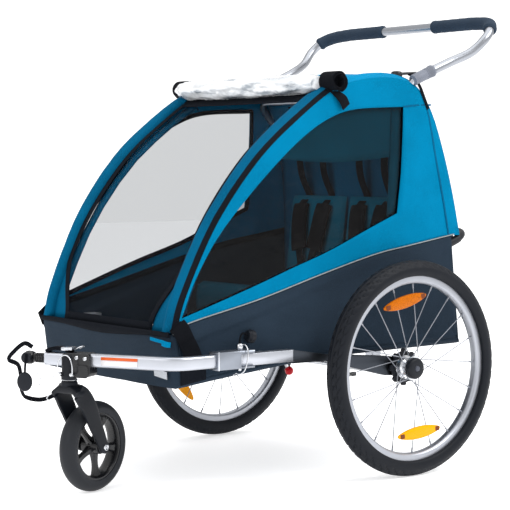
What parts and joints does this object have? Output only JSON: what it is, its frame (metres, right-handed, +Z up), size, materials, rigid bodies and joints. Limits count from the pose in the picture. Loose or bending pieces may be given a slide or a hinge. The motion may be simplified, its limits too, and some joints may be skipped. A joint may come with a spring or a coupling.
{
  "type": "child bicycle trailer",
  "caption": "Fabric-covered child bicycle trailer: low side frame with large spoked wheels, folding hoop with push handle, side tow arm with hitch and a small swivelling stroller wheel",
  "frame": {"origin": "on the ground, below the middle of the bounding box; the main wheels' axles are at Y 0.25511 m", "axes": "X is across the trailer, parallel to the main axles, with +X on the tow-arm side (the trailer's left when it travels); Y is fore and aft, with the nose towards -Y and the push handle towards +Y; Z is up"},
  "size_m": [0.799, 1.2018, 1.0818],
  "materials": {
    "aluminium_tube": "satin anodised",
    "black_moulding": "fine grained, semi-matt",
    "grey_moulding": "fine grained, semi-matt",
    "steel": "bright zinc plated",
    "alloy_wheel": "satin",
    "tyre_rubber": "matt",
    "caster_plastic": "semi-matt",
    "flexible_rubber": "matt",
    "amber_reflector": "clear coloured, prismatic back",
    "red_knob": "smooth",
    "grip_foam": "closed-cell foam, matt",
    "blue_fabric": "coated polyester weave",
    "slate_fabric": "heavy coated weave",
    "seat_fabric": "padded weave",
    "black_mesh": "open mesh",
    "webbing": "woven strap",
    "tinted_film": "tinted flexible film",
    "clear_film": "clear flexible film"
  },
  "bodies": {
    "trailer_frame": {"left_side_tube": "aluminium_tube", "right_side_tube": "aluminium_tube", "left_corner_bracket": "aluminium_tube", "right_corner_bracket": "aluminium_tube", "axle_tube": "aluminium_tube", "floor_frame": "aluminium_tube", "left_axle_pin": "steel", "right_axle_pin": "steel", "cargo_hoop": "black_moulding", "tub": "slate_fabric", "canopy": "blue_fabric", "left_window": "tinted_film", "right_window": "tinted_film", "front_mesh": "black_mesh", "floor_panel": "seat_fabric", "seat_base": "seat_fabric", "seat_back": "seat_fabric", "left_harness": "webbing", "right_harness": "webbing", "rain_cover_roll": "clear_film", "left_roll_strap": "webbing", "right_roll_strap": "webbing"},
    "left_wheel": {"left_tyre": "tyre_rubber", "left_rim": "alloy_wheel", "left_hub_and_spokes": "alloy_wheel", "left_hub_cap": "black_moulding", "left_brake_ring": "grey_moulding", "left_reflector_1": "amber_reflector", "left_reflector_2": "amber_reflector"},
    "right_wheel": {"right_tyre": "tyre_rubber", "right_rim": "alloy_wheel", "right_hub_and_spokes": "alloy_wheel", "right_hub_cap": "black_moulding", "right_brake_ring": "grey_moulding", "right_reflector_1": "amber_reflector", "right_reflector_2": "amber_reflector"},
    "left_button": {"left_hub_button": "steel"},
    "right_button": {"right_hub_button": "steel"},
    "tow_arm": {"tow_arm_tube": "aluminium_tube", "tow_arm_yoke": "aluminium_tube", "flex_joint": "flexible_rubber", "coupling_ball": "steel", "safety_strap": "webbing", "caster_bracket": "black_moulding"},
    "hitch_pin": {"hitch_pin": "steel"},
    "caster_pin": {"caster_pin": "steel"},
    "caster_fork": {"caster_fork": "steel", "caster_axle": "steel"},
    "caster_wheel": {"caster_tyre": "tyre_rubber", "caster_rim": "caster_plastic"},
    "rear_hoop": {"rear_hoop": "aluminium_tube", "left_handle_collar": "grey_moulding", "right_handle_collar": "grey_moulding"},
    "handlebar": {"handlebar": "aluminium_tube", "left_grip": "grip_foam", "right_grip": "grip_foam"},
    "front_rails": {"front_rails": "aluminium_tube"},
    "brake_bar": {"brake_bar": "aluminium_tube", "brake_knob": "red_knob"}
  },
  "joints": [
    {"name": "rear_fold", "type": "hinge", "parent": "trailer_frame", "child": "rear_hoop", "pos_m": [0, 0.43311, 0.308], "axis": [1, 0, 0], "range_deg": [0, 64], "deforming": ["canopy", "left_window", "right_window", "front_mesh", "rain_cover_roll", "left_roll_strap", "right_roll_strap", "seat_back", "left_harness", "right_harness"]},
    {"name": "front_fold", "type": "hinge", "parent": "trailer_frame", "child": "front_rails", "pos_m": [0, -0.30489, 0.352], "axis": [1, 0, 0], "range_deg": [-50, 0]},
    {"name": "handlebar_height", "type": "slide", "parent": "rear_hoop", "child": "handlebar", "axis": [0, 0.9285, 0.3714], "range_m": [0, 0.06]},
    {"name": "left_wheel_spin", "type": "hinge", "parent": "trailer_frame", "child": "left_wheel", "pos_m": [0.3763, 0.25511, 0.25], "axis": [1, 0, 0], "continuous": true},
    {"name": "right_wheel_spin", "type": "hinge", "parent": "trailer_frame", "child": "right_wheel", "pos_m": [-0.3763, 0.25511, 0.25], "axis": [1, 0, 0], "continuous": true},
    {"name": "left_release_button", "type": "slide", "parent": "trailer_frame", "child": "left_button", "axis": [-1, 0, 0], "range_m": [0, 0.003]},
    {"name": "right_release_button", "type": "slide", "parent": "trailer_frame", "child": "right_button", "axis": [1, 0, 0], "range_m": [0, 0.003]},
    {"name": "arm_swing", "type": "hinge", "parent": "trailer_frame", "child": "tow_arm", "pos_m": [0.33, -0.20789, 0.2995], "axis": [0, 0, 1], "range_deg": [0, 60]},
    {"name": "hitch_pin_lift", "type": "slide", "parent": "tow_arm", "child": "hitch_pin", "axis": [0, 0, 1], "range_m": [0, 0.055]},
    {"name": "caster_pin_pull", "type": "slide", "parent": "tow_arm", "child": "caster_pin", "axis": [0.5, -0.866, 0], "range_m": [0, 0.03]},
    {"name": "caster_swivel", "type": "hinge", "parent": "tow_arm", "child": "caster_fork", "pos_m": [0.108, -0.50189, 0.25], "axis": [0, 0, 1], "continuous": true},
    {"name": "caster_spin", "type": "hinge", "parent": "caster_fork", "child": "caster_wheel", "pos_m": [0.0839, -0.42769, 0.1], "axis": [0.9511, 0.309, 0], "continuous": true},
    {"name": "brake", "type": "hinge", "parent": "trailer_frame", "child": "brake_bar", "pos_m": [0, 0.28511, 0.226], "axis": [1, 0, 0], "range_deg": [0, 35]}
  ],
  "couplings": [
    {"joint": "front_fold", "follows": "rear_fold", "ratio": -0.78}
  ]
}
